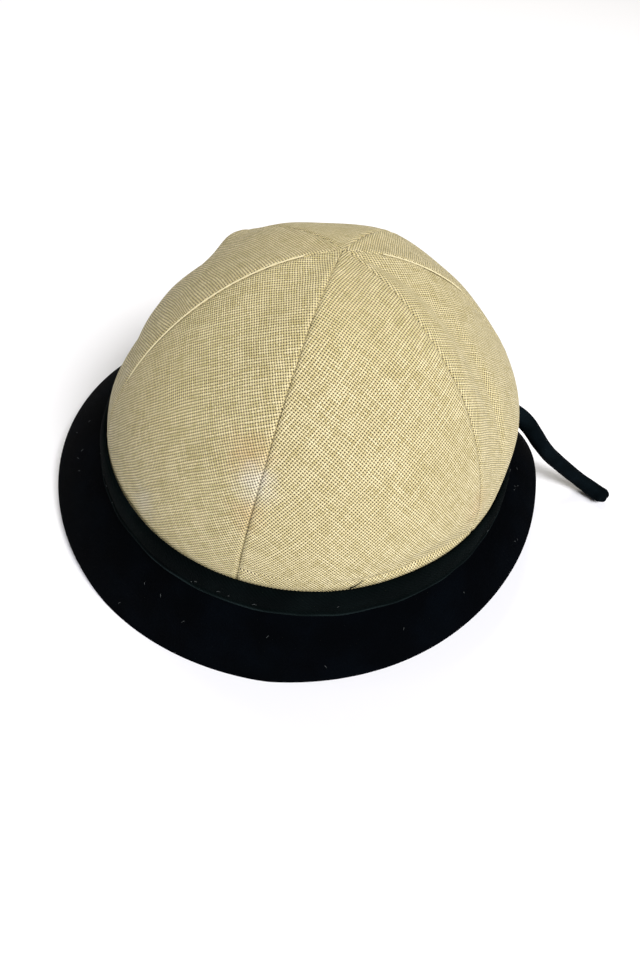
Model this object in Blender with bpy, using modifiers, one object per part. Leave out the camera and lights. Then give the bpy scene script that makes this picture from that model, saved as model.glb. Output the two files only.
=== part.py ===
"""Straw hat: a six-gore dome crown, a velvet band, a down-turned velvet brim and the band's free tail.

Metres, +Z up. The front faces -Y, +X is the right side seen from the front, and the brim rests on z = 0.
"""

import math

import bmesh
import bpy
from mathutils import Vector
from mathutils.geometry import interpolate_bezier

# Crown: an oval dome of six straw gores
CROWN_WIDTH = 0.1723
CROWN_LENGTH = 0.1956
CROWN_HEIGHT = 0.0942
CROWN_WALL = 0.0011
SEAM_GAP = 0.0004
TIP_OPENING = 0.0022

# Where the crown stands over the brim, and how its top leans
CROWN_OFFSET_X = 0.0033
CROWN_OFFSET_Y = -0.0035
LEAN_X = 0.0055
LEAN_Y = -0.0084
TIP_SHIFT_X = -0.0029
TIP_SHIFT_Y = -0.0020

# Band: a folded velvet strip round the foot of the crown
BAND_HEIGHT = 0.0112
BAND_THICKNESS = 0.0026

# Brim: velvet over a soft sheet, resting on its front and back edges
BRIM_WIDTH = 0.2191
BRIM_LENGTH = 0.2285
BRIM_DROP = 0.0310
BRIM_WALL = 0.0026
BRIM_RIGHT_LIFT = 0.0205
BRIM_LEFT_LIFT = 0.0117
BRIM_SHIFT_X = -0.0006
BRIM_TUCK = 0.0008
REST_PRESS = 0.0006

# Tail: a soft velvet cord
TAIL_DIAMETER = 0.0075
TAIL_POINT_SPACING = 0.0040

# Running gap between neighbouring pieces
GAP = 0.0003

# Shape numbers without a unit
DOME_SHOULDER = 1.75
DOME_ROUNDNESS = 0.51
GORE_HOLLOW_LOW = 0.004
GORE_HOLLOW_HIGH = 0.045
REST_ARC_START = -0.85
LIFT_CURVE = 0.8
LIFT_TURN = math.radians(16)
BRIM_CONVEXITY = 0.20
ROW_CROWDING = 1.5
RIM_ROUNDING = 0.35

# Mesh density
FOOT_ROWS = 2
DOME_ROWS = 19
GORE_COLUMNS = 12
BAND_STATIONS = 72
BRIM_STATIONS = 72
BRIM_ROWS = 5

# The seam before each gore, going anticlockwise from above, and the gore's name
GORES = [
    # seam angle (degrees), gore that follows the seam
    (-91, "crown_gore_front_right"),
    (-28, "crown_gore_right"),
    (23, "crown_gore_back_right"),
    (76, "crown_gore_back_left"),
    (148, "crown_gore_left"),
    (213, "crown_gore_front_left"),
]

# Soft dents (positive) and bulges (negative) pushed into the crown, as shares of its height
DENTS = [
    # name, angle (degrees), height, half angle (degrees), half height, depth, turn (degrees per height)
    ("right upright fold", -14, 0.62, 6, 0.30, 0.026, 18),
    ("front right tuck", -44, 0.18, 13, 0.04, 0.018, 0),
    ("right side bulge", 6, 0.37, 20, 0.13, -0.024, 0),
    ("right shoulder flat", 15, 0.70, 24, 0.14, 0.020, 0),
    ("left shoulder bulge", 153, 0.75, 9, 0.05, -0.028, 0),
    ("left shoulder dent", 166, 0.65, 9, 0.06, 0.028, 0),
    ("left front dent", 190, 0.41, 12, 0.08, 0.055, 0),
]

# Where the band's top edge rides up the crown
BAND_RISES = [
    # name, angle (degrees), rise as a share of the band's height, half angle (degrees)
    ("left front", 222, 0.13, 18),
    ("front right", -48, 0.12, 14),
    ("right front", -25, 0.16, 10),
]

# The band's outer side from bottom to top
BAND_SECTION = [
    # share of height, share of thickness
    (0.00, 0.55),
    (0.08, 0.95),
    (0.35, 1.00),
    (0.70, 0.90),
    (0.92, 0.70),
    (1.00, 0.35),
]

# Fuller parts of the brim's outline
BRIM_CORNERS = [
    # name, angle (degrees), fullness as a share of the brim's width, half angle (degrees)
    ("back right", 27, 0.0324, 18),
    ("front right", -48, 0.0095, 24),
]

# Chosen points that the tail's middle line passes through, from the band to its free end
TAIL_ROUTE = [
    (0.0846, 0.0412, 0.0376),
    (0.0893, 0.0413, 0.0377),
    (0.0940, 0.0400, 0.0371),
    (0.0985, 0.0378, 0.0355),
    (0.1020, 0.0363, 0.0335),
    (0.1079, 0.0355, 0.0280),
    (0.1130, 0.0365, 0.0230),
    (0.1165, 0.0375, 0.0200),
    (0.1204, 0.0386, 0.0170),
    (0.1242, 0.0396, 0.0142),
    (0.1280, 0.0405, 0.0115),
    (0.1320, 0.0412, 0.0090),
    (0.1359, 0.0416, 0.0068),
    (0.1396, 0.0414, 0.0052),
    (0.1432, 0.0403, 0.0044),
    (0.1462, 0.0390, 0.0041),
    (0.1482, 0.0381, 0.0041),
]

FOOT_Z = BRIM_DROP
BAND_TOP_Z = FOOT_Z + BAND_HEIGHT
HEART_Z = FOOT_Z + CROWN_HEIGHT / 3
CROWN_TOP_Z = FOOT_Z + CROWN_HEIGHT


def clear_scene():
    for item in list(bpy.data.objects):
        bpy.data.objects.remove(item, do_unlink=True)


def make_material(name, colour, roughness, sheen):
    material = bpy.data.materials.new(name)
    material.use_nodes = True
    shader = material.node_tree.nodes["Principled BSDF"]
    shader.inputs["Base Color"].default_value = (*colour, 1.0)
    shader.inputs["Roughness"].default_value = roughness
    shader.inputs["Metallic"].default_value = 0.0
    shader.inputs["Sheen Weight"].default_value = sheen
    return material


def add_object(name, data, material, collection):
    data.materials.append(material)
    item = bpy.data.objects.new(name, data)
    collection.objects.link(item)
    return item


def crown_axis(z):
    """The middle of the crown's oval at height z: upright in the band, leaning towards the tip."""
    share = max(0.0, (z - BAND_TOP_Z) / (CROWN_TOP_Z - BAND_TOP_Z))
    x = CROWN_OFFSET_X + LEAN_X * share + TIP_SHIFT_X * share**3
    y = CROWN_OFFSET_Y + LEAN_Y * share + TIP_SHIFT_Y * share**3
    return Vector((x, y, z))


def crown_reach(z):
    """The crown's oval at height z, as a share of its size at the band."""
    share = (z - BAND_TOP_Z) / (CROWN_TOP_Z - BAND_TOP_Z)
    share = min(1.0, max(0.0, share))
    return (1.0 - share**DOME_SHOULDER) ** DOME_ROUNDNESS


def tip_reach():
    """The last row's reach: a small hole where the six gores meet."""
    return TIP_OPENING / CROWN_WIDTH


def gore_hollow(angle, start, end, z, reach):
    """How far the cloth falls in between two seams, largest at the gore's middle and at the top."""
    across = (angle - start) / (end - start)
    height = (z - FOOT_Z) / CROWN_HEIGHT
    share = GORE_HOLLOW_LOW + (GORE_HOLLOW_HIGH - GORE_HOLLOW_LOW) * height**2
    return share * reach * CROWN_WIDTH / 2 * (1 - math.cos(2 * math.pi * across)) / 2


def dent_depth(angle, z):
    height = (z - FOOT_Z) / CROWN_HEIGHT
    total = 0.0
    for _, middle, level, half_angle, half_height, depth, turn in DENTS:
        heading = middle + turn * (height - level)
        turned = (math.degrees(angle) - heading + 180) % 360 - 180
        fall = (turned / half_angle) ** 2 + ((height - level) / half_height) ** 2
        total += depth * CROWN_HEIGHT * math.exp(-fall)
    return total


def crown_point(angle, z, reach, hollow):
    """A point of the crown's outer side, pushed in by the gore's hollow and the dents."""
    middle = crown_axis(z)
    across = CROWN_WIDTH / 2 * reach * math.cos(angle)
    along = CROWN_LENGTH / 2 * reach * math.sin(angle)
    point = middle + Vector((across, along, 0))
    heart = crown_axis(min(z, HEART_Z))
    inward = (heart - point).normalized()
    return point + inward * (hollow + dent_depth(angle, z))


def crown_rows():
    """(height, reach) of each row of the crown's grid, from its foot to its tip."""
    rows = []
    for i in range(FOOT_ROWS):
        z = FOOT_Z + BAND_HEIGHT * i / FOOT_ROWS
        rows.append((z, crown_reach(z)))
    for i in range(DOME_ROWS):
        share = 1 - (1 - i / DOME_ROWS) ** ROW_CROWDING
        z = BAND_TOP_Z + (CROWN_TOP_Z - BAND_TOP_Z) * share
        rows.append((z, crown_reach(z)))
    rows.append((CROWN_TOP_Z, tip_reach()))
    return rows


def grid_mesh(name, rows):
    """An open sheet through rows of points, facing the side that sees the rows run left to right and upwards."""
    mesh = bmesh.new()
    made = [[mesh.verts.new(point) for point in row] for row in rows]
    for low, high in zip(made, made[1:]):
        for left, right, right_up, left_up in zip(low, low[1:], high[1:], high):
            mesh.faces.new((left, right, right_up, left_up))
    data = bpy.data.meshes.new(name)
    mesh.to_mesh(data)
    mesh.free()
    data.shade_smooth()
    return data


def ring_mesh(name, sections):
    """A closed body through a ring of closed sections."""
    mesh = bmesh.new()
    made = [[mesh.verts.new(point) for point in section] for section in sections]
    count = len(sections[0])
    for here, there in zip(made, made[1:] + made[:1]):
        for i in range(count):
            j = (i + 1) % count
            mesh.faces.new((here[i], there[i], there[j], here[j]))
    bmesh.ops.recalc_face_normals(mesh, faces=mesh.faces)
    data = bpy.data.meshes.new(name)
    mesh.to_mesh(data)
    mesh.free()
    data.shade_smooth()
    return data


def make_gore(name, start_degrees, end_degrees, material, collection):
    """One gore: an open curved sheet thickened inwards, half a seam gap short of each seam."""
    start = math.radians(start_degrees)
    end = math.radians(end_degrees)
    rows = []
    for z, reach in crown_rows():
        inset = math.asin(SEAM_GAP / (CROWN_WIDTH * reach))
        first = start + inset
        last = end - inset
        row = []
        for i in range(GORE_COLUMNS + 1):
            angle = first + (last - first) * i / GORE_COLUMNS
            hollow = gore_hollow(angle, start, end, z, reach)
            row.append(crown_point(angle, z, reach, hollow))
        rows.append(row)
    gore = add_object(name, grid_mesh(name, rows), material, collection)
    wall = gore.modifiers.new("wall", "SOLIDIFY")
    wall.thickness = CROWN_WALL
    wall.offset = -1
    return gore


def make_crown(material, collection):
    starts = [angle for angle, _ in GORES]
    ends = starts[1:] + [starts[0] + 360]
    for (start, name), end in zip(GORES, ends):
        make_gore(name, start, end, material, collection)


def oval_at_foot(angle, outside):
    """A point level with the crown's foot, the given distance outside the crown's oval."""
    across = (CROWN_WIDTH / 2 + outside) * math.cos(angle)
    along = (CROWN_LENGTH / 2 + outside) * math.sin(angle)
    return Vector((CROWN_OFFSET_X + across, CROWN_OFFSET_Y + along, FOOT_Z))


def band_height(angle):
    """The band's height at this angle, a little more where its top edge rides up the crown."""
    share = 1.0
    for _, middle, rise, half_angle in BAND_RISES:
        turned = (math.degrees(angle) - middle + 180) % 360 - 180
        share += rise * math.exp(-((turned / half_angle) ** 2))
    return BAND_HEIGHT * share


def band_section(angle):
    """The band's closed section: up its plain inner side, and down its rounded outer side."""
    inner = [(0.0, 0.0), (1.0, 0.0)]
    section = []
    for height, depth in inner + BAND_SECTION[::-1]:
        point = oval_at_foot(angle, GAP + BAND_THICKNESS * depth)
        point.z += band_height(angle) * height
        section.append(point)
    return section


def make_band(material, collection):
    sections = []
    for i in range(BAND_STATIONS):
        sections.append(band_section(2 * math.pi * i / BAND_STATIONS))
    add_object("band", ring_mesh("band", sections), material, collection)


def brim_edge(angle):
    """The brim's outer edge: an oval with fuller corners, low at front and back and lifted at the sides."""
    across = BRIM_WIDTH / 2 * math.cos(angle)
    along = BRIM_LENGTH / 2 * math.sin(angle)
    point = Vector((across, along, 0))
    outward = point.normalized()
    for _, middle, fullness, half_angle in BRIM_CORNERS:
        turned = (math.degrees(angle) - middle + 180) % 360 - 180
        point += outward * BRIM_WIDTH * fullness * math.exp(-((turned / half_angle) ** 2))
    point.x += BRIM_SHIFT_X
    swing = math.cos(2 * angle + LIFT_TURN)
    lifted = max(0.0, (swing - REST_ARC_START) / (1 - REST_ARC_START))
    rightness = (1 + math.cos(angle)) / 2
    lift = BRIM_LEFT_LIFT + (BRIM_RIGHT_LIFT - BRIM_LEFT_LIFT) * rightness
    point.z = lift * lifted**LIFT_CURVE - REST_PRESS
    return point


def brim_upper_side(angle):
    """Points down the brim's upper side, from under the crown's foot to the outer edge."""
    start = oval_at_foot(angle, -CROWN_WALL)
    corner = oval_at_foot(angle, GAP + BAND_THICKNESS - BRIM_TUCK)
    start.z -= GAP
    corner.z -= GAP
    edge = brim_edge(angle)
    points = [start]
    for i in range(BRIM_ROWS + 1):
        share = i / BRIM_ROWS
        outward = share + BRIM_CONVEXITY * (math.sin(share * math.pi / 2) - share)
        downward = share + BRIM_CONVEXITY * (1 - math.cos(share * math.pi / 2) - share)
        point = corner.lerp(edge, outward)
        point.z = corner.z + (edge.z - corner.z) * downward
        points.append(point)
    return points


def brim_section(angle):
    """The brim's closed section, flat where it would reach below the surface that the hat rests on."""
    upper = brim_upper_side(angle)
    outward = upper[-1] - upper[0]
    outward.z = 0
    outward.normalize()
    side = Vector((-outward.y, outward.x, 0))
    lower = []
    for i, point in enumerate(upper):
        before = upper[max(i - 1, 0)]
        after = upper[min(i + 1, len(upper) - 1)]
        down_slope = after - before
        inward = side.cross(down_slope).normalized()
        lower.append(point + inward * BRIM_WALL)
    tangent = (upper[-1] - upper[-2]).normalized()
    rim = (upper[-1] + lower[-1]) / 2 + tangent * BRIM_WALL * RIM_ROUNDING
    section = upper + [rim] + lower[::-1]
    for point in section:
        point.z = max(point.z, 0.0)
    return section


def make_brim(material, collection):
    sections = []
    for i in range(BRIM_STATIONS):
        sections.append(brim_section(2 * math.pi * i / BRIM_STATIONS))
    add_object("brim", ring_mesh("brim", sections), material, collection)


def smooth_route(route, spacing):
    """Points about one spacing apart along a smooth curve through the route's own points."""
    knots = [Vector(point) for point in route]
    padded = [knots[0]] + knots + [knots[-1]]
    points = [knots[0]]
    for before, here, there, after in zip(padded, padded[1:], padded[2:], padded[3:]):
        handle = here + (there - before) / 6
        other_handle = there - (after - here) / 6
        steps = max(1, round((there - here).length / spacing))
        points += interpolate_bezier(here, handle, other_handle, there, steps + 1)[1:]
    return points


def make_tail(material, collection):
    points = smooth_route(TAIL_ROUTE, TAIL_POINT_SPACING)
    data = bpy.data.curves.new("band_tail", "CURVE")
    data.dimensions = "3D"
    data.bevel_depth = TAIL_DIAMETER / 2
    data.bevel_resolution = 3
    data.use_fill_caps = True
    line = data.splines.new("POLY")
    line.points.add(len(points) - 1)
    for slot, point in zip(line.points, points):
        slot.co = (*point, 1.0)
    add_object("band_tail", data, material, collection)


def main():
    clear_scene()
    collection = bpy.data.collections.new("straw_hat")
    bpy.context.scene.collection.children.link(collection)
    straw = make_material("straw_cloth", (0.72, 0.62, 0.38), 0.75, 0.1)
    band_velvet = make_material("band_velvet", (0.004, 0.007, 0.006), 0.9, 0.3)
    brim_velvet = make_material("brim_velvet", (0.002, 0.003, 0.005), 0.95, 0.3)
    make_crown(straw, collection)
    make_band(band_velvet, collection)
    make_brim(brim_velvet, collection)
    make_tail(band_velvet, collection)


main()
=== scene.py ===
"""Looks of the straw hat: woven gores with seams, a folded velvet band with its free tail, and a velvet brim.

Metres, +Z up. The front faces -Y, +X is the right side seen from the front, and the brim rests on z = 0.
"""

import math
import random

import bmesh
import bpy
from mathutils import Matrix, Vector, noise
from mathutils.geometry import interpolate_bezier

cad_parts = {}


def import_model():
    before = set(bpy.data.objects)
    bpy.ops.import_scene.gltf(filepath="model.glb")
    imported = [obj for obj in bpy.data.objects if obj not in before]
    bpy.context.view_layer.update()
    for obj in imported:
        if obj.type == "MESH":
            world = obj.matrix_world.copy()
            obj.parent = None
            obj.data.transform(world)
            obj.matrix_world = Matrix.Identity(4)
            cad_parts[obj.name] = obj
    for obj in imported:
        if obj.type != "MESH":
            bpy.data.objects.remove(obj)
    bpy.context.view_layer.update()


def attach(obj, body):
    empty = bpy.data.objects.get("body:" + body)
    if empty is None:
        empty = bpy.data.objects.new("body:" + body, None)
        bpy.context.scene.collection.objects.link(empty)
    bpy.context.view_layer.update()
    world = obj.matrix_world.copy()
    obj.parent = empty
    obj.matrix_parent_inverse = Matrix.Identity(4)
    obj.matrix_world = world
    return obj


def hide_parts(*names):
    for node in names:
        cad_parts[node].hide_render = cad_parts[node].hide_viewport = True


# Camera
CAMERA_POSITION = (0.0435, -0.2399, 0.2414)
CAMERA_TURN = math.radians(7.82)
CAMERA_DOWN = math.radians(45.21)
CAMERA_ROLL = math.radians(-10.43)
CAMERA_LENS = 26.17
SENSOR = 36.0
NEAR_CLIP = 0.01

# Crown: an oval dome of six straw gores
CROWN_WIDTH = 0.1723
CROWN_LENGTH = 0.1956
CROWN_HEIGHT = 0.0942
CROWN_WALL = 0.0011
SEAM_GAP = 0.0004
TIP_OPENING = 0.0007

# Where the crown stands over the brim, and how its top leans
CROWN_OFFSET_X = 0.0033
CROWN_OFFSET_Y = -0.0035
LEAN_X = 0.0055
LEAN_Y = -0.0084
TIP_SHIFT_X = -0.0029
TIP_SHIFT_Y = -0.0020

# Band
BAND_HEIGHT = 0.0112
BAND_THICKNESS = 0.0026

# Brim
BRIM_WIDTH = 0.2191
BRIM_LENGTH = 0.2285
BRIM_DROP = 0.0310
BRIM_WALL = 0.0026
BRIM_RIGHT_LIFT = 0.0205
BRIM_LEFT_LIFT = 0.0117
BRIM_SHIFT_X = -0.0006
BRIM_TUCK = 0.0008
REST_PRESS = 0.0006

# Tail
TAIL_DIAMETER = 0.0075
TAIL_POINT_SPACING = 0.0012

GAP = 0.0003

# Lint and the loose thread (angles in degrees)
LINT_COUNT = 34
LINT_LENGTH = (0.0005, 0.0016)
LINT_RADIUS = 0.00007
LINT_SEED = 7
LINT_ANGLES = (-170, 10)
LINT_ON_BAND = 0.4
LINT_BAND_LEVELS = (0.2, 0.6)
LINT_BAND_REACH = 1.16
LINT_BAND_RISE = 1.1
LINT_ARCH = 4
LINT_TAPER = (0.6, 1.0, 0.5)
LOOSE_THREAD_RADIUS = 0.00022
LOOSE_THREAD = [
    # angle (degrees), share of the crown's height, share of the radius
    (-64.5, 0.128, 1.0),
    (-63.4, 0.138, 0.9),
    (-62.2, 0.152, 0.6),
    (-61.4, 0.163, 0.3),
]

# Shape numbers without a unit
DOME_SHOULDER = 1.75
DOME_ROUNDNESS = 0.51
GORE_HOLLOW_LOW = 0.004
GORE_HOLLOW_HIGH = 0.045
REST_ARC_START = -0.85
LIFT_CURVE = 0.8
LIFT_TURN = math.radians(16)
BRIM_CONVEXITY = 0.20
ROW_CROWDING = 1.9
RIM_ROUNDING = 0.35

# Mesh density
FOOT_ROWS = 10
DOME_ROWS = 170
GORE_COLUMNS = 88
BAND_STATIONS = 540
BRIM_STATIONS = 432
BRIM_ROWS = 26
RIM_STEPS = 6
TAIL_SIDES = 28
SEAM_STRIP_STEPS = 6
RIDGE_STEPS = 160
BAND_LINE_STEPS = 2

# Cloth: thread spacings of the weave, and the relief of seams and slack cloth
WARP_PITCH = 0.00100
WEFT_PITCH = 0.00088
THREAD_RELIEF = 0.00036
SEAM_ROLL = 0.0006
SEAM_SINK = 0.00035
SEAM_WELT = 0.00010
SEAM_WELT_PLACE = 0.0018
SEAM_ROOM = 0.012
SEAM_STRIP_HALF_WIDTH = 0.0035
SEAM_STRIP_DEPTH = 0.0006
SEAM_STRIP_FALL = 0.0009
SEAM_STRIP_SHOULDER = 0.0012
SEAM_STRIP_WALL = 0.0004
RIDGE_RADIUS = 0.00034
RIDGE_STITCH = 0.0016
SLACK_SIZE = 0.022
SLACK_DEPTH = 0.0004

# Shares for the seams, the ridges and the band's ripples
SEAM_STRIP_REACH = 0.4
LARGEST_INSET = 0.9
EDGE_CROWDING = 0.10
CONE_LIMITS = (0.01, 0.999)
UNROLL_ROWS = 3
RIDGE_BEAD = 0.15
RIDGE_FADE = 0.12
RIDGE_START = 0.15
RIPPLE_SIZE = 0.010
RIPPLE_RISE = 1.2
RIPPLE_DEPTH = 0.16

# The seam before each gore, going anticlockwise from above, and the gore's name
GORES = [
    # seam angle (degrees), gore that follows the seam
    (-91, "crown_gore_front_right"),
    (-28, "crown_gore_right"),
    (23, "crown_gore_back_right"),
    (76, "crown_gore_back_left"),
    (148, "crown_gore_left"),
    (213, "crown_gore_front_left"),
]

# Soft dents (positive) and bulges (negative) pushed into the crown, as shares of its height
DENTS = [
    # name, angle (degrees), height, half angle (degrees), half height, depth, turn (degrees per height)
    ("right upright fold", -14, 0.62, 6, 0.30, 0.026, 18),
    ("front right tuck", -44, 0.18, 13, 0.04, 0.018, 0),
    ("right side bulge", 6, 0.37, 20, 0.13, -0.024, 0),
    ("right shoulder flat", 15, 0.70, 24, 0.14, 0.020, 0),
    ("left shoulder bulge", 153, 0.75, 9, 0.05, -0.028, 0),
    ("left shoulder dent", 166, 0.65, 9, 0.06, 0.028, 0),
    ("left front dent", 190, 0.41, 12, 0.08, 0.055, 0),
]

# Fuller parts of the brim's outline
BRIM_CORNERS = [
    # name, angle (degrees), fullness as a share of the brim's width, half angle (degrees)
    ("back right", 27, 0.0324, 18),
    ("front right", -48, 0.0095, 24),
]

# Creases that only the dressed hat shows, in the same columns as the dents
CREASES = [
    # name, angle (degrees), height, half angle (degrees), half height, depth, turn (degrees per height)
    ("right fold crease", -11, 0.56, 1.8, 0.22, 0.012, 22),
    ("right fold lip", -15, 0.54, 2.6, 0.20, -0.007, 22),
    ("tuck crease over the band", -47, 0.160, 17, 0.011, 0.011, 0),
    ("lip under the tuck", -47, 0.185, 17, 0.016, -0.006, 0),
]

# Seams whose edge stands up as a pale ridge, as shares of the crown's height
SEAM_RIDGES = [
    # name, seam angle (degrees), from height, to height
    ("left", 213, 0.45, 0.985),
    ("back_right", 23, 0.82, 0.985),
]

# Chosen points that the tail's middle line passes through, from the band to its free end
TAIL_ROUTE = [
    (0.0846, 0.0412, 0.0376),
    (0.0893, 0.0413, 0.0377),
    (0.0940, 0.0400, 0.0371),
    (0.0985, 0.0378, 0.0355),
    (0.1020, 0.0363, 0.0335),
    (0.1079, 0.0355, 0.0280),
    (0.1130, 0.0365, 0.0230),
    (0.1165, 0.0375, 0.0200),
    (0.1204, 0.0386, 0.0170),
    (0.1242, 0.0396, 0.0142),
    (0.1280, 0.0405, 0.0115),
    (0.1320, 0.0412, 0.0090),
    (0.1359, 0.0416, 0.0068),
    (0.1396, 0.0414, 0.0052),
    (0.1432, 0.0403, 0.0044),
    (0.1462, 0.0390, 0.0041),
    (0.1482, 0.0381, 0.0041),
]

# Where the band's top edge rides up the crown
BAND_RISES = [
    # name, angle (degrees), rise as a share of the band's height, half angle (degrees)
    ("left front", 222, 0.13, 18),
    ("front right", -48, 0.12, 14),
    ("right front", -25, 0.16, 10),
]

# The band's outer side from bottom to top: a thin lip, a crease, a full fold and a soft top edge
BAND_SECTION = [
    # share of height, share of thickness
    (0.00, 0.50),
    (0.00, 0.95),
    (0.03, 1.12),
    (0.08, 1.16),
    (0.12, 1.06),
    (0.16, 0.90),
    (0.22, 0.92),
    (0.32, 1.02),
    (0.45, 1.06),
    (0.60, 1.04),
    (0.74, 0.96),
    (0.86, 0.80),
    (0.94, 0.58),
    (0.99, 0.34),
    (1.00, 0.12),
]

FOOT_Z = BRIM_DROP
BAND_TOP_Z = FOOT_Z + BAND_HEIGHT
HEART_Z = FOOT_Z + CROWN_HEIGHT / 3
CROWN_TOP_Z = FOOT_Z + CROWN_HEIGHT


# Helpers


def add_object(name, data, material=None):
    item = bpy.data.objects.new(name, data)
    bpy.context.scene.collection.objects.link(item)
    if material:
        data.materials.append(material)
    return item


def degrees_from(angle, middle):
    """How far an angle (radians) is from a middle (degrees), in degrees between -180 and 180."""
    return (math.degrees(angle) - middle + 180) % 360 - 180


def grid_object(name, rows, material, flat_rows):
    """An open sheet through rows of points. flat_rows give each point's place in the flat cloth."""
    mesh = bmesh.new()
    made = [[mesh.verts.new(point) for point in row] for row in rows]
    layer = mesh.loops.layers.uv.new("cloth")
    places = {}
    for row, flat_row in zip(made, flat_rows):
        places.update(zip(row, flat_row))
    for low, high in zip(made, made[1:]):
        for left, right, right_up, left_up in zip(low, low[1:], high[1:], high):
            face = mesh.faces.new((left, right, right_up, left_up))
            for loop in face.loops:
                loop[layer].uv = places[loop.vert]
    data = bpy.data.meshes.new(name)
    mesh.to_mesh(data)
    mesh.free()
    data.shade_smooth()
    return add_object(name, data, material)


def ring_object(name, sections, flat_sections, material):
    """A closed body through a ring of closed sections, with a place in the flat cloth for each point."""
    mesh = bmesh.new()
    made = [[mesh.verts.new(point) for point in section] for section in sections]
    layer = mesh.loops.layers.uv.new("cloth")
    count = len(sections[0])
    stations = len(sections)
    for s in range(stations):
        t = (s + 1) % stations
        for i in range(count):
            j = (i + 1) % count
            face = mesh.faces.new((made[s][i], made[t][i], made[t][j], made[s][j]))
            here = flat_sections[s]
            there = flat_sections[s + 1]
            corners = (here[i], there[i], there[i + 1], here[i + 1])
            for loop, corner in zip(face.loops, corners):
                loop[layer].uv = corner
    bmesh.ops.recalc_face_normals(mesh, faces=mesh.faces)
    data = bpy.data.meshes.new(name)
    mesh.to_mesh(data)
    mesh.free()
    data.shade_smooth()
    return add_object(name, data, material)


def place(piece, slot, *nodes):
    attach(piece, "root")
    if nodes:
        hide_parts(*nodes)


# Shader helpers


def new_material(name):
    material = bpy.data.materials.new(name)
    material.use_nodes = True
    return material, material.node_tree, material.node_tree.nodes["Principled BSDF"]


def wire(tree, source, target):
    """Connects an output, or sets a plain number."""
    if isinstance(source, (int, float)):
        target.default_value = source
    else:
        tree.links.new(source, target)


def calc(tree, operation, first, second=0.0, third=0.0):
    node = tree.nodes.new("ShaderNodeMath")
    node.operation = operation
    wire(tree, first, node.inputs[0])
    wire(tree, second, node.inputs[1])
    wire(tree, third, node.inputs[2])
    return node.outputs[0]


def remap(tree, value, low, high, to_low=0.0, to_high=1.0):
    node = tree.nodes.new("ShaderNodeMapRange")
    node.interpolation_type = "SMOOTHSTEP"
    wire(tree, value, node.inputs["Value"])
    node.inputs["From Min"].default_value = low
    node.inputs["From Max"].default_value = high
    node.inputs["To Min"].default_value = to_low
    node.inputs["To Max"].default_value = to_high
    return node.outputs["Result"]


def mix_colour(tree, share, first, second):
    node = tree.nodes.new("ShaderNodeMix")
    node.data_type = "RGBA"
    wire(tree, share, node.inputs["Factor"])
    for colour, socket in ((first, node.inputs["A"]), (second, node.inputs["B"])):
        if isinstance(colour, tuple):
            socket.default_value = (*colour, 1.0)
        else:
            tree.links.new(colour, socket)
    return node.outputs["Result"]


def mix_number(tree, share, first, second):
    node = tree.nodes.new("ShaderNodeMix")
    wire(tree, share, node.inputs["Factor"])
    wire(tree, first, node.inputs["A"])
    wire(tree, second, node.inputs["B"])
    return node.outputs["Result"]


def noise_value(tree, vector, scale, detail=2.0):
    node = tree.nodes.new("ShaderNodeTexNoise")
    node.inputs["Scale"].default_value = scale
    node.inputs["Detail"].default_value = detail
    tree.links.new(vector, node.inputs["Vector"])
    return node.outputs["Fac"]


def combine(tree, x, y):
    node = tree.nodes.new("ShaderNodeCombineXYZ")
    wire(tree, x, node.inputs[0])
    wire(tree, y, node.inputs[1])
    return node.outputs[0]


def object_place(tree):
    return tree.nodes.new("ShaderNodeTexCoord").outputs["Object"]


def cloth_place(tree, turn):
    """The place in the flat cloth, in metres, turned by the given angle: (across, along)."""
    layer = tree.nodes.new("ShaderNodeUVMap")
    layer.uv_map = "cloth"
    turned = tree.nodes.new("ShaderNodeVectorRotate")
    turned.rotation_type = "Z_AXIS"
    turned.inputs["Angle"].default_value = turn
    tree.links.new(layer.outputs["UV"], turned.inputs["Vector"])
    parts = tree.nodes.new("ShaderNodeSeparateXYZ")
    tree.links.new(turned.outputs["Vector"], parts.inputs["Vector"])
    return parts.outputs["X"], parts.outputs["Y"]


def add_bump(tree, shader, height, distance, strength):
    node = tree.nodes.new("ShaderNodeBump")
    node.inputs["Distance"].default_value = distance
    node.inputs["Strength"].default_value = strength
    tree.links.new(height, node.inputs["Height"])
    tree.links.new(node.outputs["Normal"], shader.inputs["Normal"])


# Materials

STRAW_LIGHT = (0.80, 0.70, 0.41)
STRAW_MIDDLE = (0.56, 0.475, 0.225)
# Painted shade for the gaps and dips between threads, where the dark inside shows through the weave
STRAW_HOLE_SHADE = (0.030, 0.020, 0.007)
STRAW_EDGE = (0.80, 0.72, 0.46)
LINT_GREY = (0.10, 0.11, 0.11)
STRAW_WARM = (0.62, 0.40, 0.18)
STRAW_PALE = (0.86, 0.82, 0.72)
CLOTH_BIAS = math.radians(45)

# The weave's threads: shares of a thread's spacing, noise scales and strengths, and the sway in metres
THREAD_FULLNESS = 0.70
THREAD_RISE = 0.38
THREAD_BUMP = 0.8
SWAY_SCALE = 55.0
SWAY = 0.0016
SLUB_STEP = 7.31
SLUB_STRETCH = 0.11
SLUB_RANGE = (0.30, 0.68)
SLUB_RELIEF = 0.4
CLOUD_SCALE = 26.0
CLOUD_RANGE = (0.35, 0.75)
CLOUD_STRENGTH = 0.25
# Thread heights over which the painted shade between threads fades out
HOLE_SHADE_RANGE = (0.10, 0.80)
MARK_GRAIN = 240.0
MARK_INSIDE = 0.5
MARK_OUTSIDE = 1.5
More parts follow.
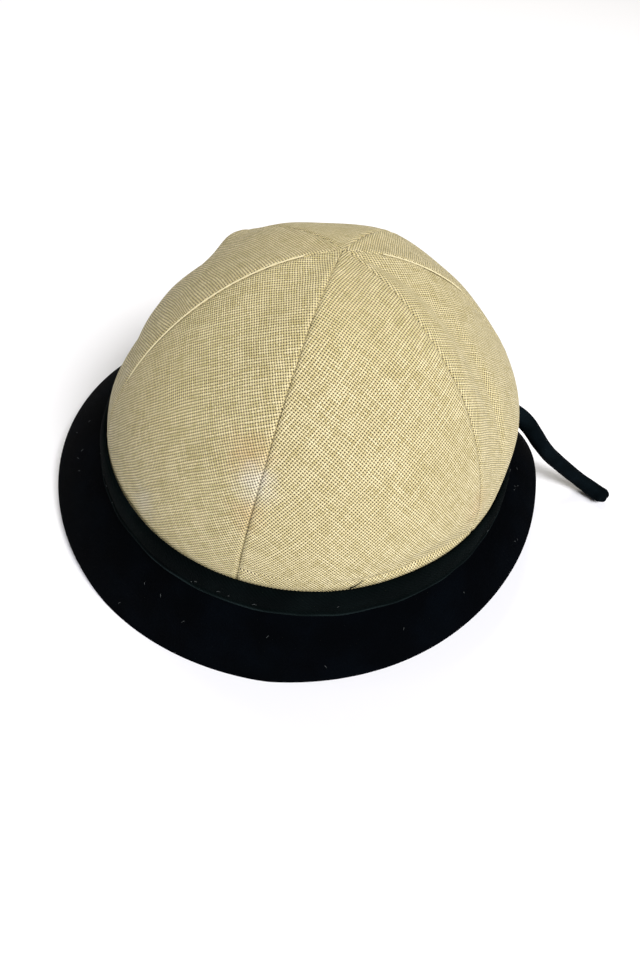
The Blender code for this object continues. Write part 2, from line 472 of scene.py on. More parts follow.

# Velvet: (deep colour, lit colour) of each piece, the lit colour being painted sheen on the nap patches and
# rib crests, and its pile, nap and ribs
VELVETS = {
    "band": ((0.0006, 0.0014, 0.0015), (0.0026, 0.0052, 0.0054)),
    "brim": ((0.0002, 0.0005, 0.0010), (0.0007, 0.0016, 0.0030)),
    "tail": ((0.0010, 0.0022, 0.0030), (0.0040, 0.0080, 0.0110)),
}
# Painted highlight colour for the band's lower lip, where its edge catches light
LIP_HIGHLIGHT_COLOUR = (0.012, 0.020, 0.021)
PILE_SCALE = 2600.0
PILE_RANGE = (0.35, 0.70)
PILE_FAINTEST = 0.35
PILE_RELIEF = 0.00025
PILE_BUMP = 0.7
NAP_SCALE = 60.0
NAP_RANGE = (0.35, 0.75)
RIB_PITCH = 0.0011
RIB_SLANT = math.radians(52)
RIB_SHEEN_SHARE = 0.18
RIB_RELIEF = 0.8

# The grain of plain fibres, and how dark its darkest part is
GRAIN_SCALE = 900.0
GRAIN_DARKEST = 0.7

# The band's lower lip, painted lighter as a highlight where its edge catches light: heights above the crown's
# foot, and its unevenness
LIP_LOW = 0.0007
LIP_HIGH = 0.0015
LIP_SCALE = 45.0
LIP_RANGE = (0.30, 0.65)
LIP_FAINTEST = 0.25

# Faint marks on the straw: warm ones and pale ones
MARKS = [
    # name, angle (degrees), share of the crown's height, radius, strength, colour
    ("warm mark beside the front seam", 264, 0.60, 0.012, 0.45, STRAW_WARM),
    ("warm mark lower on the front seam", 268, 0.42, 0.009, 0.40, STRAW_WARM),
    ("pale mark across the front seam", 268, 0.53, 0.010, 0.55, STRAW_PALE),
    ("pale mark low on the left front", 240, 0.22, 0.010, 0.30, STRAW_PALE),
    ("warm edge of the front right seam", 331, 0.30, 0.011, 0.30, STRAW_WARM),
]


def weave_thread(tree, across, along, index_shift):
    """One of the two thread systems: (height of the thread's top, its own number)."""
    number = calc(tree, "FLOOR", across)
    offset = calc(tree, "SUBTRACT", calc(tree, "FRACT", across), 0.5)
    spread = calc(tree, "DIVIDE", calc(tree, "MULTIPLY", offset, 2.0), THREAD_FULLNESS)
    profile = calc(tree, "SUBTRACT", 1.0, calc(tree, "MULTIPLY", spread, spread))
    profile = calc(tree, "SQRT", calc(tree, "MAXIMUM", profile, 0.0))
    phase = calc(tree, "ADD", calc(tree, "ADD", along, number), index_shift)
    wave = calc(tree, "COSINE", calc(tree, "MULTIPLY", phase, math.pi))
    rise = calc(tree, "MULTIPLY_ADD", wave, THREAD_RISE, 1 - THREAD_RISE)
    return calc(tree, "MULTIPLY", profile, rise), number


def slub_value(tree, number, along, number_first):
    """Slow light and dark stretches along each thread, different from thread to thread."""
    step = calc(tree, "MULTIPLY", number, SLUB_STEP)
    stretch = calc(tree, "MULTIPLY", along, SLUB_STRETCH)
    here = combine(tree, step, stretch) if number_first else combine(tree, stretch, step)
    return noise_value(tree, here, 1.0)


def make_straw():
    material, tree, shader = new_material("straw_cloth")
    across, along = cloth_place(tree, CLOTH_BIAS)
    sway = noise_value(tree, object_place(tree), SWAY_SCALE, 1.0)
    sway = calc(tree, "MULTIPLY", calc(tree, "SUBTRACT", sway, 0.5), SWAY)
    warp = calc(tree, "DIVIDE", calc(tree, "ADD", across, sway), WARP_PITCH)
    weft = calc(tree, "DIVIDE", calc(tree, "SUBTRACT", along, sway), WEFT_PITCH)
    warp_height, warp_number = weave_thread(tree, warp, weft, -0.5)
    weft_height, weft_number = weave_thread(tree, weft, warp, 0.5)
    height = calc(tree, "MAXIMUM", warp_height, weft_height)
    warp_slub = slub_value(tree, warp_number, weft, True)
    weft_slub = slub_value(tree, weft_number, warp, False)
    on_top = calc(tree, "GREATER_THAN", warp_height, weft_height)
    slub = mix_number(tree, on_top, weft_slub, warp_slub)
    thread = mix_colour(tree, remap(tree, slub, *SLUB_RANGE), STRAW_MIDDLE, STRAW_LIGHT)
    cloud = remap(tree, noise_value(tree, object_place(tree), CLOUD_SCALE, 3.0), *CLOUD_RANGE)
    thread = mix_colour(tree, calc(tree, "MULTIPLY", cloud, CLOUD_STRENGTH), thread, STRAW_MIDDLE)
    for mark in MARKS:
        thread = add_mark(tree, thread, mark)
    # Painted shade: the colour darkens towards the hole shade where the threads part and dip under each other
    colour = mix_colour(tree, remap(tree, height, *HOLE_SHADE_RANGE), STRAW_HOLE_SHADE, thread)
    tree.links.new(colour, shader.inputs["Base Color"])
    shader.inputs["Roughness"].default_value = 0.62
    shader.inputs["Specular IOR Level"].default_value = 0.30
    shader.inputs["Sheen Weight"].default_value = 0.05
    relief = calc(tree, "MULTIPLY_ADD", slub, SLUB_RELIEF, height)
    add_bump(tree, shader, relief, THREAD_RELIEF, THREAD_BUMP)
    return material


def add_mark(tree, colour, mark):
    """A faint cloudy spot on the crown, centred at an angle and height."""
    _, degrees, level, radius, strength, tint = mark
    z = FOOT_Z + CROWN_HEIGHT * level
    centre = crown_point(math.radians(degrees), z, crown_reach(z), 0.0)
    distance = tree.nodes.new("ShaderNodeVectorMath")
    distance.operation = "DISTANCE"
    tree.links.new(object_place(tree), distance.inputs[0])
    distance.inputs[1].default_value = centre
    ragged = noise_value(tree, object_place(tree), MARK_GRAIN, 3.0)
    reach = calc(tree, "MULTIPLY_ADD", ragged, radius, distance.outputs["Value"])
    share = remap(tree, reach, radius * MARK_INSIDE, radius * MARK_OUTSIDE, strength, 0.0)
    return mix_colour(tree, share, colour, tint)


def lip_highlight_share(tree):
    """Share of painted highlight: 1 on the band's thin lower lip, fading out above it, a little uneven along
    the band.
    """
    parts = tree.nodes.new("ShaderNodeSeparateXYZ")
    tree.links.new(object_place(tree), parts.inputs["Vector"])
    share = remap(tree, parts.outputs["Z"], FOOT_Z + LIP_LOW, FOOT_Z + LIP_HIGH, 1.0, 0.0)
    uneven = noise_value(tree, object_place(tree), LIP_SCALE)
    uneven = remap(tree, uneven, *LIP_RANGE, LIP_FAINTEST, 1.0)
    return calc(tree, "MULTIPLY", share, uneven)


def make_velvet(piece, ribs=False, lip=False):
    """Near-black velvet with a fine pile and an uneven nap shown as patches of painted sheen, and slanting
    ribs with painted sheen on their crests or a painted highlight on the lip where asked.
    """
    deep, sheen_colour = VELVETS[piece]
    material, tree, shader = new_material(piece + "_velvet")
    here = object_place(tree)
    nap_sheen = remap(tree, noise_value(tree, here, NAP_SCALE, 3.0), *NAP_RANGE)
    pile = noise_value(tree, here, PILE_SCALE)
    share = calc(tree, "MULTIPLY", nap_sheen, remap(tree, pile, *PILE_RANGE, PILE_FAINTEST, 1.0))
    height = pile
    if ribs:
        slant, _ = cloth_place(tree, RIB_SLANT)
        rib = calc(tree, "SINE", calc(tree, "MULTIPLY", slant, 2 * math.pi / RIB_PITCH))
        rib = calc(tree, "MULTIPLY_ADD", rib, 0.5, 0.5)
        height = calc(tree, "MULTIPLY_ADD", rib, RIB_RELIEF, pile)
        plain = calc(tree, "MULTIPLY", share, 1 - RIB_SHEEN_SHARE)
        share = calc(tree, "MULTIPLY_ADD", rib, RIB_SHEEN_SHARE, plain)
    # Painted sheen: the nap patches, pile specks and rib crests take the lit colour
    colour = mix_colour(tree, share, deep, sheen_colour)
    if lip:
        # Painted highlight on the band's lower lip
        colour = mix_colour(tree, lip_highlight_share(tree), colour, LIP_HIGHLIGHT_COLOUR)
    tree.links.new(colour, shader.inputs["Base Color"])
    shader.inputs["Roughness"].default_value = 0.92
    shader.inputs["Specular IOR Level"].default_value = 0.02
    shader.inputs["Sheen Weight"].default_value = 0.01
    shader.inputs["Sheen Roughness"].default_value = 0.4
    shader.inputs["Sheen Tint"].default_value = (*sheen_colour, 1.0)
    add_bump(tree, shader, height, PILE_RELIEF, PILE_BUMP)
    return material


def make_plain(name, colour, roughness):
    """A plain fibre colour with a little grain."""
    material, tree, shader = new_material(name)
    grain = noise_value(tree, object_place(tree), GRAIN_SCALE)
    darker = tuple(part * GRAIN_DARKEST for part in colour)
    tree.links.new(mix_colour(tree, grain, darker, colour), shader.inputs["Base Color"])
    shader.inputs["Roughness"].default_value = roughness
    shader.inputs["Specular IOR Level"].default_value = 0.2
    return material


# Crown


def crown_axis(z):
    """The middle of the crown's oval at height z: upright in the band, leaning towards the tip."""
    share = max(0.0, (z - BAND_TOP_Z) / (CROWN_TOP_Z - BAND_TOP_Z))
    x = CROWN_OFFSET_X + LEAN_X * share + TIP_SHIFT_X * share**3
    y = CROWN_OFFSET_Y + LEAN_Y * share + TIP_SHIFT_Y * share**3
    return Vector((x, y, z))


def crown_reach(z):
    """The crown's oval at height z, as a share of its size at the band."""
    share = (z - BAND_TOP_Z) / (CROWN_TOP_Z - BAND_TOP_Z)
    share = min(1.0, max(0.0, share))
    return (1.0 - share**DOME_SHOULDER) ** DOME_ROUNDNESS


def gore_hollow(angle, start, end, z, reach):
    """How far the cloth falls in between two seams, largest at the gore's middle and at the top."""
    across = (angle - start) / (end - start)
    height = (z - FOOT_Z) / CROWN_HEIGHT
    share = GORE_HOLLOW_LOW + (GORE_HOLLOW_HIGH - GORE_HOLLOW_LOW) * height**2
    return share * reach * CROWN_WIDTH / 2 * (1 - math.cos(2 * math.pi * across)) / 2


def dent_depth(angle, z):
    height = (z - FOOT_Z) / CROWN_HEIGHT
    total = 0.0
    for _, middle, level, half_angle, half_height, depth, turn in DENTS + CREASES:
        heading = middle + turn * (height - level)
        turned = degrees_from(angle, heading)
        fall = (turned / half_angle) ** 2 + ((height - level) / half_height) ** 2
        total += depth * CROWN_HEIGHT * math.exp(-fall)
    return total


def crown_inward(point, z):
    """The direction from a point of the crown's outer side to the crown's heart."""
    return (crown_axis(min(z, HEART_Z)) - point).normalized()


def crown_point(angle, z, reach, hollow):
    """A point of the crown's outer side, pushed in by the gore's hollow and the dents."""
    middle = crown_axis(z)
    across = CROWN_WIDTH / 2 * reach * math.cos(angle)
    along = CROWN_LENGTH / 2 * reach * math.sin(angle)
    point = middle + Vector((across, along, 0))
    return point + crown_inward(point, z) * (hollow + dent_depth(angle, z))


def crown_rows():
    """(height, reach) of each row of the crown's grid, from its foot to its tip."""
    rows = []
    for i in range(FOOT_ROWS):
        z = FOOT_Z + BAND_HEIGHT * i / FOOT_ROWS
        rows.append((z, crown_reach(z)))
    for i in range(DOME_ROWS):
        share = 1 - (1 - i / DOME_ROWS) ** ROW_CROWDING
        z = BAND_TOP_Z + (CROWN_TOP_Z - BAND_TOP_Z) * share
        rows.append((z, crown_reach(z)))
    rows.append((CROWN_TOP_Z, TIP_OPENING / CROWN_WIDTH))
    return rows


def seam_relief(distance):
    """How far the cloth turns in beside a seam, with a low welt next to the turn."""
    sink = SEAM_SINK * math.exp(-((distance / SEAM_ROLL) ** 2))
    welt = SEAM_WELT * math.exp(-(((distance - SEAM_WELT_PLACE) / SEAM_ROLL) ** 2))
    return sink - welt


def slack(point):
    """Slow unevenness of unstiffened cloth."""
    return SLACK_DEPTH * noise.noise(point / SLACK_SIZE)


def columns_crowded_at_edges(count):
    """Shares from 0 to 1, closer together at both ends, where the seams need it."""
    shares = []
    for i in range(count + 1):
        share = i / count
        shares.append(share - EDGE_CROWDING * math.sin(2 * math.pi * share))
    return shares


def gore_rows(start, end):
    """The gore's outer side as rows of points, with the seams' relief."""
    shares = columns_crowded_at_edges(GORE_COLUMNS)
    rows = []
    for z, reach in crown_rows():
        inset = math.asin(min(LARGEST_INSET, SEAM_GAP / (CROWN_WIDTH * reach)))
        first = start + inset
        last = end - inset
        width = (CROWN_WIDTH + CROWN_LENGTH) / 4 * reach
        room = min(1.0, width / SEAM_ROOM)
        row = []
        for share in shares:
            angle = first + (last - first) * share
            hollow = gore_hollow(angle, start, end, z, reach)
            distance = width * min(angle - first, last - angle)
            relief = seam_relief(distance) * room
            base = crown_point(angle, z, reach, hollow)
            row.append(base + crown_inward(base, z) * (relief + slack(base)))
        rows.append(row)
    return rows


def flat_gore(rows, angle_span):
    """Each point's place in the gore's flat cloth, found by unrolling it row by row."""
    middle = len(rows[0]) // 2
    heights = [0.0]
    for low, high in zip(rows, rows[1:]):
        heights.append(heights[-1] + (high[middle] - low[middle]).length)
    lengths = []
    for row in rows:
        lengths.append(sum((b - a).length for a, b in zip(row, row[1:])))
    flat = []
    for i, row in enumerate(rows):
        low = max(i - UNROLL_ROWS, 0)
        high = min(i + UNROLL_ROWS, len(rows) - 1)
        narrowing = (lengths[low] - lengths[high]) / angle_span / (heights[high] - heights[low])
        narrowing = min(CONE_LIMITS[1], max(CONE_LIMITS[0], narrowing))
        cone = lengths[i] / angle_span / narrowing
        arcs = [0.0]
        for a, b in zip(row, row[1:]):
            arcs.append(arcs[-1] + (b - a).length)
        flat_row = []
        for arc in arcs:
            turn = (arc - arcs[middle]) / cone
            flat_row.append((cone * math.sin(turn), heights[i] + cone * (1 - math.cos(turn))))
        flat.append(flat_row)
    return flat


def make_gore(name, start_degrees, end_degrees, material):
    start = math.radians(start_degrees)
    end = math.radians(end_degrees)
    rows = gore_rows(start, end)
    gore = grid_object(name + "_cloth", rows, material, flat_gore(rows, end - start))
    wall = gore.modifiers.new("wall", "SOLIDIFY")
    wall.thickness = CROWN_WALL
    wall.offset = -1
    place(gore, "straw_cloth", name)


def make_seam(number, degrees, material):
    """The turned-in edges under a seam: a narrow strip inside the wall, from the foot to the tip."""
    angle = math.radians(degrees)
    rows = []
    for z, reach in crown_rows():
        width = (CROWN_WIDTH + CROWN_LENGTH) / 4 * reach
        half_width = min(SEAM_STRIP_HALF_WIDTH, width * SEAM_STRIP_REACH)
        row = []
        for i in range(SEAM_STRIP_STEPS + 1):
            side = (i / SEAM_STRIP_STEPS * 2 - 1) * half_width
            base = crown_point(angle + side / width, z, reach, 0.0)
            fall = SEAM_STRIP_FALL * min(1.0, abs(side) / SEAM_STRIP_SHOULDER)
            row.append(base + crown_inward(base, z) * (SEAM_STRIP_DEPTH + fall))
        rows.append(row)
    flat = flat_gore(rows, 2 * SEAM_STRIP_HALF_WIDTH / CROWN_WIDTH)
    strip = grid_object(f"seam_{number}", rows, material, flat)
    wall = strip.modifiers.new("wall", "SOLIDIFY")
    wall.thickness = SEAM_STRIP_WALL
    wall.offset = -1
    place(strip, "straw_cloth")


def thread_object(name, lines, radius, material):
    """Fine threads: one round-bevelled line for each list of (point, share of the radius)."""
    data = bpy.data.curves.new(name, "CURVE")
    data.dimensions = "3D"
    data.bevel_depth = radius
    data.bevel_resolution = 1
    data.use_fill_caps = True
    for line in lines:
        spline = data.splines.new("POLY")
        spline.points.add(len(line) - 1)
        for slot, (point, share) in zip(spline.points, line):
            slot.co = (*point, 1.0)
            slot.radius = share
    return add_object(name, data, material)


def make_ridge(name, degrees, low, high, material):
    """The pale edge that stands up along a seam, slightly beaded by its stitches."""
    angle = math.radians(degrees)
    line = []
    run = 0.0
    for i in range(RIDGE_STEPS + 1):
        level = low + (high - low) * i / RIDGE_STEPS
        z = FOOT_Z + CROWN_HEIGHT * level
        base = crown_point(angle, z, crown_reach(z), 0.0)
        if line:
            run += (base - line[-1][0]).length
        bead = 1 - RIDGE_BEAD + RIDGE_BEAD * math.sin(2 * math.pi * run / RIDGE_STITCH)
        fade = min(1.0, i / RIDGE_STEPS / RIDGE_FADE + RIDGE_START)
        line.append((base, bead * fade))
    ridge = thread_object("seam_ridge_" + name, [line], RIDGE_RADIUS, material)
    place(ridge, "straw_cloth")


def make_crown(material, edge_material):
    starts = [angle for angle, _ in GORES]
    ends = starts[1:] + [starts[0] + 360]
    for (start, name), end in zip(GORES, ends):
        make_gore(name, start, end, material)
    for number, degrees in enumerate(starts):
        make_seam(number, degrees, material)
    for name, degrees, low, high in SEAM_RIDGES:
        make_ridge(name, degrees, low, high, edge_material)


# Band


def oval_at_foot(angle, outside):
    """A point level with the crown's foot, the given distance outside the crown's oval."""
    across = (CROWN_WIDTH / 2 + outside) * math.cos(angle)
    along = (CROWN_LENGTH / 2 + outside) * math.sin(angle)
    return Vector((CROWN_OFFSET_X + across, CROWN_OFFSET_Y + along, FOOT_Z))


def fine_band_section():
    """The band's outer line, drawn finer than its table."""
    line = []
    for (h0, t0), (h1, t1) in zip(BAND_SECTION, BAND_SECTION[1:]):
        for k in range(BAND_LINE_STEPS):
            share = k / BAND_LINE_STEPS
            line.append((h0 + (h1 - h0) * share, t0 + (t1 - t0) * share))
    line.append(BAND_SECTION[-1])
    return line


def band_height(angle):
    """The band's height at this angle, a little more where its top edge rides up the crown."""
    share = 1.0
    for _, middle, rise, half_angle in BAND_RISES:
        share += rise * math.exp(-((degrees_from(angle, middle) / half_angle) ** 2))
    return BAND_HEIGHT * share


def band_wave(angle, height):
    """Small slack ripples along the band, as a share of its thickness."""
    around = Vector((math.cos(angle), math.sin(angle), 0)) * CROWN_WIDTH / 2
    place_on_band = around / RIPPLE_SIZE + Vector((0, 0, height * RIPPLE_RISE))
    return RIPPLE_DEPTH * noise.noise(place_on_band)


def make_band(material):
    line = [(0.0, 0.0), (1.0, 0.0)] + fine_band_section()[::-1]
    sections = []
    flats = []
    for s in range(BAND_STATIONS + 1):
        angle = 2 * math.pi * s / BAND_STATIONS
        section = []
        flat = []
        run = 0.0
        for height, depth in line:
            thick = depth * (1 + band_wave(angle, height)) if depth > 0 else 0.0
            point = oval_at_foot(angle, GAP + BAND_THICKNESS * thick)
            point.z += band_height(angle) * height
            if section:
                run += (point - section[-1]).length
            flat.append((angle * (CROWN_WIDTH + CROWN_LENGTH) / 4, run))
            section.append(point)
        flat.append((flat[0][0], run + (section[0] - section[-1]).length))
        sections.append(section)
        flats.append(flat)
    band = ring_object("band_velvet_strip", sections[:-1], flats, material)
    place(band, "band_velvet", "band")


# Brim


def brim_edge(angle):
    """The brim's outer edge: an oval with fuller corners, low at front and back and lifted at the sides."""
    across = BRIM_WIDTH / 2 * math.cos(angle)
    along = BRIM_LENGTH / 2 * math.sin(angle)
    point = Vector((across, along, 0))
    outward = point.normalized()
    for _, middle, fullness, half_angle in BRIM_CORNERS:
        near = math.exp(-((degrees_from(angle, middle) / half_angle) ** 2))
        point += outward * BRIM_WIDTH * fullness * near
    point.x += BRIM_SHIFT_X
    swing = math.cos(2 * angle + LIFT_TURN)
    lifted = max(0.0, (swing - REST_ARC_START) / (1 - REST_ARC_START))
    rightness = (1 + math.cos(angle)) / 2
    lift = BRIM_LEFT_LIFT + (BRIM_RIGHT_LIFT - BRIM_LEFT_LIFT) * rightness
    point.z = lift * lifted**LIFT_CURVE - REST_PRESS
    return point


def brim_upper_side(angle):
    """Points down the brim's upper side, from under the crown's foot to the outer edge."""
    start = oval_at_foot(angle, -CROWN_WALL)
    corner = oval_at_foot(angle, GAP + BAND_THICKNESS - BRIM_TUCK)
    start.z -= GAP
    corner.z -= GAP
    edge = brim_edge(angle)
    points = [start]
    for i in range(BRIM_ROWS + 1):
        share = i / BRIM_ROWS
        outward = share + BRIM_CONVEXITY * (math.sin(share * math.pi / 2) - share)
        downward = share + BRIM_CONVEXITY * (1 - math.cos(share * math.pi / 2) - share)
        point = corner.lerp(edge, outward)
        point.z = corner.z + (edge.z - corner.z) * downward
        points.append(point)
    return points


def brim_section(angle):
    """The brim's closed section with a rounded rim, flat where it would reach below z = 0."""
    upper = brim_upper_side(angle)
    outward = upper[-1] - upper[0]
    outward.z = 0
    outward.normalize()
    side = Vector((-outward.y, outward.x, 0))
    lower = []
    for i, point in enumerate(upper):
        before = upper[max(i - 1, 0)]
        after = upper[min(i + 1, len(upper) - 1)]
        down_slope = after - before
        inward = side.cross(down_slope).normalized()
        lower.append(point + inward * BRIM_WALL)
    tangent = (upper[-1] - upper[-2]).normalized()
    middle = (upper[-1] + lower[-1]) / 2
    half = (upper[-1] - lower[-1]) / 2
    rim = []
    for k in range(1, RIM_STEPS):
        turn = math.pi * k / RIM_STEPS
        ahead = tangent * BRIM_WALL * RIM_ROUNDING * math.sin(turn)
        rim.append(middle + half * math.cos(turn) + ahead)
    section = upper + rim + lower[::-1]
    for point in section:
        point.z = max(point.z, 0.0)
    return section


def make_brim(material):
    sections = []
    flats = []
    for s in range(BRIM_STATIONS + 1):
        angle = 2 * math.pi * s / BRIM_STATIONS
        section = brim_section(angle)
        run = 0.0
        flat = [(angle * BRIM_WIDTH / 2, 0.0)]
        for a, b in zip(section, section[1:] + section[:1]):
            run += (b - a).length
            flat.append((angle * BRIM_WIDTH / 2, run))
        sections.append(section)
        flats.append(flat)
    brim = ring_object("brim_velvet_sheet", sections[:-1], flats, material)
    place(brim, "brim_velvet", "brim")


# Lint and loose threads


def make_lint(material):
    """Short pale fibres lying on the velvet of the band and the brim."""
    chance = random.Random(LINT_SEED)
    band_side = GAP + BAND_THICKNESS * LINT_BAND_REACH
    lines = []
    for _ in range(LINT_COUNT):
        angle = math.radians(chance.uniform(*LINT_ANGLES))
        length = chance.uniform(*LINT_LENGTH)
        turn = length / CROWN_WIDTH * 2
        if chance.random() < LINT_ON_BAND:
            level = chance.uniform(*LINT_BAND_LEVELS)
            rise = Vector((0, 0, BAND_HEIGHT * level))
            start = oval_at_foot(angle, band_side) + rise
            end = oval_at_foot(angle + turn, band_side) + rise * LINT_BAND_RISE
        else:
            row = chance.randrange(BRIM_ROWS // 3, BRIM_ROWS - 1)
            start = brim_upper_side(angle)[row]
            end = brim_upper_side(angle + turn * chance.uniform(-1, 1))[row + 1]
        middle = (start + end) / 2 + Vector((0, 0, LINT_RADIUS * LINT_ARCH))
        lines.append(list(zip((start, middle, end), LINT_TAPER)))
    lint = thread_object("lint", lines, LINT_RADIUS, material)
    place(lint, "band_velvet")


def make_loose_thread(material):
    """The small black thread end that stands out over the straw at the front right."""
    line = []
    for degrees, level, share in LOOSE_THREAD:
        z = FOOT_Z + CROWN_HEIGHT * level
        base = crown_point(math.radians(degrees), z, crown_reach(z), 0.0)
        line.append((base - crown_inward(base, z) * LOOSE_THREAD_RADIUS, share))
    thread = thread_object("loose_thread", [line], LOOSE_THREAD_RADIUS, material)
    place(thread, "band_velvet")


# Tail


def smooth_route(route, spacing):
    """Points about one spacing apart along a smooth curve through the route's own points."""
    knots = [Vector(point) for point in route]
    padded = [knots[0]] + knots + [knots[-1]]
    points = [knots[0]]
    for before, here, there, after in zip(padded, padded[1:], padded[2:], padded[3:]):
        handle = here + (there - before) / 6
        other_handle = there - (after - here) / 6
        steps = max(1, round((there - here).length / spacing))
        points += interpolate_bezier(here, handle, other_handle, there, steps + 1)[1:]
    return points


# How wide and thick the tail is along its length
TAIL_SHAPE = [
    # share of length, width share, thickness share
    (0.00, 1.24, 1.02),
    (0.30, 1.19, 1.02),
    (0.65, 1.06, 0.97),
    (0.82, 1.04, 0.93),
    (0.92, 1.19, 0.88),
    (1.00, 1.24, 0.82),
]


# The fold line along the tail's upper side, and its small ripples
TAIL_FOLD = 0.10
TAIL_FOLD_WIDTH = 0.22
TAIL_RIPPLE = 0.05
TAIL_RIPPLES_ALONG = 14
TAIL_RIPPLES_AROUND = 1.5

# The rings that close the tail's free end
TAIL_END = [
    # share of the last ring's thickness, how far ahead in diameters
    (0.93, 0.10),
    (0.78, 0.20),
    (0.52, 0.27),
    (0.22, 0.30),
]
TAIL_END_NARROWING = 0.35
TAIL_END_MIDDLE = 0.25


def tail_shape(share):
    for (s0, w0, t0), (s1, w1, t1) in zip(TAIL_SHAPE, TAIL_SHAPE[1:]):
        if share <= s1:
            k = (share - s0) / (s1 - s0)
            k = k * k * (3 - 2 * k)
            return w0 + (w1 - w0) * k, t0 + (t1 - t0) * k
    return TAIL_SHAPE[-1][1:]


def tail_ring(point, tangent, share):
    """The tail's outline round one point of its path: a little flat, with the fold line on top."""
    side = tangent.cross(Vector((0, 0, 1))).normalized()
    up = side.cross(tangent)
    width, thick = tail_shape(share)
    ring = []
    for k in range(TAIL_SIDES):
        turn = 2 * math.pi * k / TAIL_SIDES
        across = math.cos(turn)
        above = math.sin(turn)
        fold = TAIL_FOLD * math.exp(-((across / TAIL_FOLD_WIDTH) ** 2)) * (1 if above > 0 else 0)
        around = Vector(
            (
                share * TAIL_RIPPLES_ALONG,
                across * TAIL_RIPPLES_AROUND,
                above * TAIL_RIPPLES_AROUND,
            )
        )
        ripple = TAIL_RIPPLE * noise.noise(around)
        spot = point + side * (TAIL_DIAMETER / 2 * width * across * (1 + ripple))
        spot += up * (TAIL_DIAMETER / 2 * thick * above * (1 + ripple - fold))
        ring.append(spot)
    return ring


def make_tail(material):
    """A folded velvet tie: a slightly flat tube with a fold line and a notched end of two lobes."""
    path = smooth_route(TAIL_ROUTE, TAIL_POINT_SPACING)
    mesh = bmesh.new()
    layer = mesh.loops.layers.uv.new("cloth")
    rings = []
    runs = [0.0]
    for a, b in zip(path, path[1:]):
        runs.append(runs[-1] + (b - a).length)
    for i, point in enumerate(path):
        tangent = (path[min(i + 1, len(path) - 1)] - path[max(i - 1, 0)]).normalized()
        ring = tail_ring(point, tangent, runs[i] / runs[-1])
        rings.append([mesh.verts.new(spot) for spot in ring])
    step = math.pi * TAIL_DIAMETER / TAIL_SIDES
    for low, high, run_low, run_high in zip(rings, rings[1:], runs, runs[1:]):
        for k in range(TAIL_SIDES):
            j = (k + 1) % TAIL_SIDES
            face = mesh.faces.new((low[k], low[j], high[j], high[k]))
            here = k * step
            there = (k + 1) * step
            corners = ((run_low, here), (run_low, there), (run_high, there), (run_high, here))
            for loop, corner in zip(face.loops, corners):
                loop[layer].uv = corner
    mesh.faces.new(rings[0][::-1])
    close_tail_end(mesh, rings[-1], path)
    bmesh.ops.recalc_face_normals(mesh, faces=mesh.faces)
    data = bpy.data.meshes.new("band_tail_tie")
    mesh.to_mesh(data)
    mesh.free()
    data.shade_smooth()
    tail = add_object("band_tail_tie", data, material)
    place(tail, "band_velvet", "band_tail")


def close_tail_end(mesh, ring, path):
    """Two rounded lobes with a small notch between them close the tail's free end."""
    tangent = (path[-1] - path[-3]).normalized()
    side = tangent.cross(Vector((0, 0, 1))).normalized()
    middle = path[-1]
    last = ring
    for shrink, ahead in TAIL_END:
        inner = []
        for vert in ring:
            offset = vert.co - middle
            across = offset.dot(side) / (TAIL_DIAMETER / 2)
            lobes = math.cos(math.pi * min(1.0, abs(abs(across) - 0.5) / 0.5) / 2)
            push = TAIL_DIAMETER * ahead * (TAIL_END_MIDDLE + lobes)
            flat_across = side * offset.dot(side)
            rest = offset - flat_across
            narrower = 1 - (1 - shrink) * TAIL_END_NARROWING
            spot = middle + flat_across * narrower + rest * shrink + tangent * push
            inner.append(mesh.verts.new(spot))
        for k in range(len(ring)):
            j = (k + 1) % len(ring)
            mesh.faces.new((last[k], last[j], inner[j], inner[k]))
        last = inner
    count = len(last)
    for k in range(count // 2):
        four = (last[k], last[k + 1], last[(count - k - 1) % count], last[(count - k) % count])
        corners = list(dict.fromkeys(four))
        if len(corners) > 2:
            mesh.faces.new(corners)


# Stage

FLOOR_HALF_SIZE = 6.0
FLOOR_DROP = 0.0002
FLOOR_COLOUR = (0.93, 0.94, 0.97)
LIGHT_AIM = Vector((0, 0, 0.05))

# Soft studio lights
LIGHTS = [
    # name, position, size, power, colour
    ("key", (1.82, -2.17, 2.83), 1.60, 168.0, (1.0, 0.985, 1.0)),
    ("right fill", (2.66, -0.97, 2.83), 1.60, 54.0, (1.0, 0.98, 0.97)),
    ("back fill", (-1.23, 2.13, 3.15), 1.60, 62.0, (1.0, 0.95, 0.84)),
]
WORLD_STRENGTH = 0.08


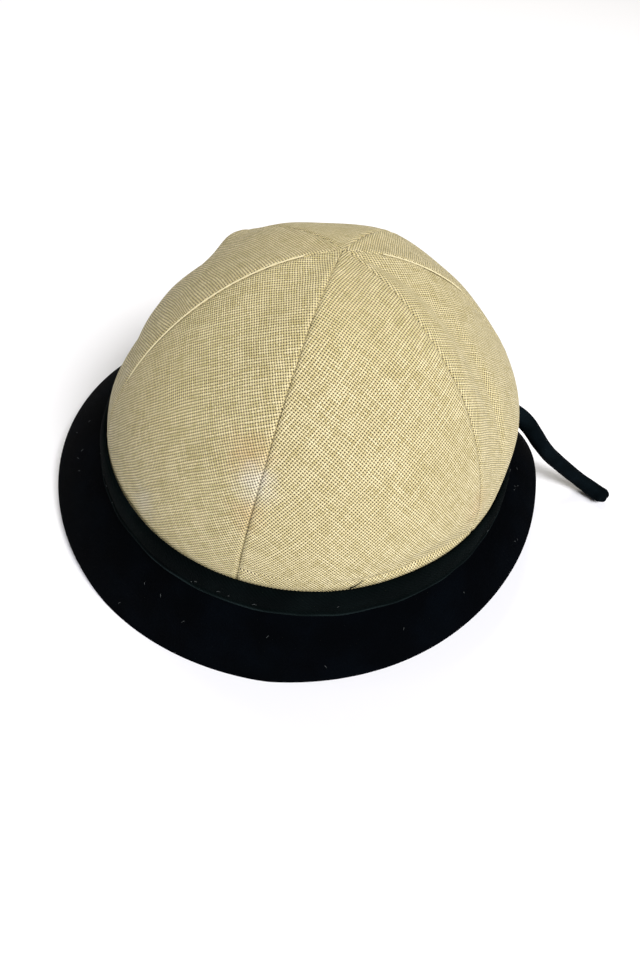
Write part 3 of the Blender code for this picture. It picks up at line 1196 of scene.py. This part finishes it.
def make_camera():
    back = Vector(
        (
            math.sin(CAMERA_TURN) * math.cos(CAMERA_DOWN),
            -math.cos(CAMERA_TURN) * math.cos(CAMERA_DOWN),
            math.sin(CAMERA_DOWN),
        )
    )
    level = (-back).cross(Vector((0, 0, 1))).normalized()
    up = level.cross(-back)
    right = level * math.cos(CAMERA_ROLL) - up * math.sin(CAMERA_ROLL)
    top = level * math.sin(CAMERA_ROLL) + up * math.cos(CAMERA_ROLL)
    frame_matrix = Matrix((right, top, back)).transposed().to_4x4()
    frame_matrix.translation = Vector(CAMERA_POSITION)
    data = bpy.data.cameras.new("camera")
    data.lens = CAMERA_LENS
    data.sensor_width = SENSOR
    data.clip_start = NEAR_CLIP
    camera = bpy.data.objects.new("camera", data)
    bpy.context.scene.collection.objects.link(camera)
    camera.matrix_world = frame_matrix
    bpy.context.scene.camera = camera


def make_floor():
    mesh = bmesh.new()
    bmesh.ops.create_grid(mesh, x_segments=1, y_segments=1, size=FLOOR_HALF_SIZE)
    data = bpy.data.meshes.new("floor")
    mesh.to_mesh(data)
    mesh.free()
    material, _, shader = new_material("floor")
    shader.inputs["Base Color"].default_value = (*FLOOR_COLOUR, 1.0)
    shader.inputs["Roughness"].default_value = 1.0
    shader.inputs["Specular IOR Level"].default_value = 0.0
    floor = add_object("floor", data, material)
    floor.location.z = -FLOOR_DROP


def make_lights():
    for name, position, size, power, colour in LIGHTS:
        data = bpy.data.lights.new(name, "AREA")
        data.size = size
        data.energy = power
        data.color = colour
        lamp = bpy.data.objects.new(name, data)
        bpy.context.scene.collection.objects.link(lamp)
        lamp.location = position
        aim = LIGHT_AIM - Vector(position)
        lamp.rotation_euler = aim.to_track_quat("-Z", "Y").to_euler()
    world = bpy.data.worlds.new("studio")
    world.use_nodes = True
    sky = world.node_tree.nodes["Background"]
    sky.inputs["Color"].default_value = (1.0, 1.0, 1.0, 1.0)
    sky.inputs["Strength"].default_value = WORLD_STRENGTH
    bpy.context.scene.world = world


def main():
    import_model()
    bpy.context.scene.view_settings.view_transform = "Standard"
    make_camera()
    straw = make_straw()
    band_velvet = make_velvet("band", ribs=True, lip=True)
    brim_velvet = make_velvet("brim")
    make_tail(make_velvet("tail"))
    make_crown(straw, make_plain("straw_edge", STRAW_EDGE, 0.7))
    make_band(band_velvet)
    make_brim(brim_velvet)
    make_lint(make_plain("lint", LINT_GREY, 0.9))
    make_loose_thread(band_velvet)
    make_floor()
    make_lights()


main()
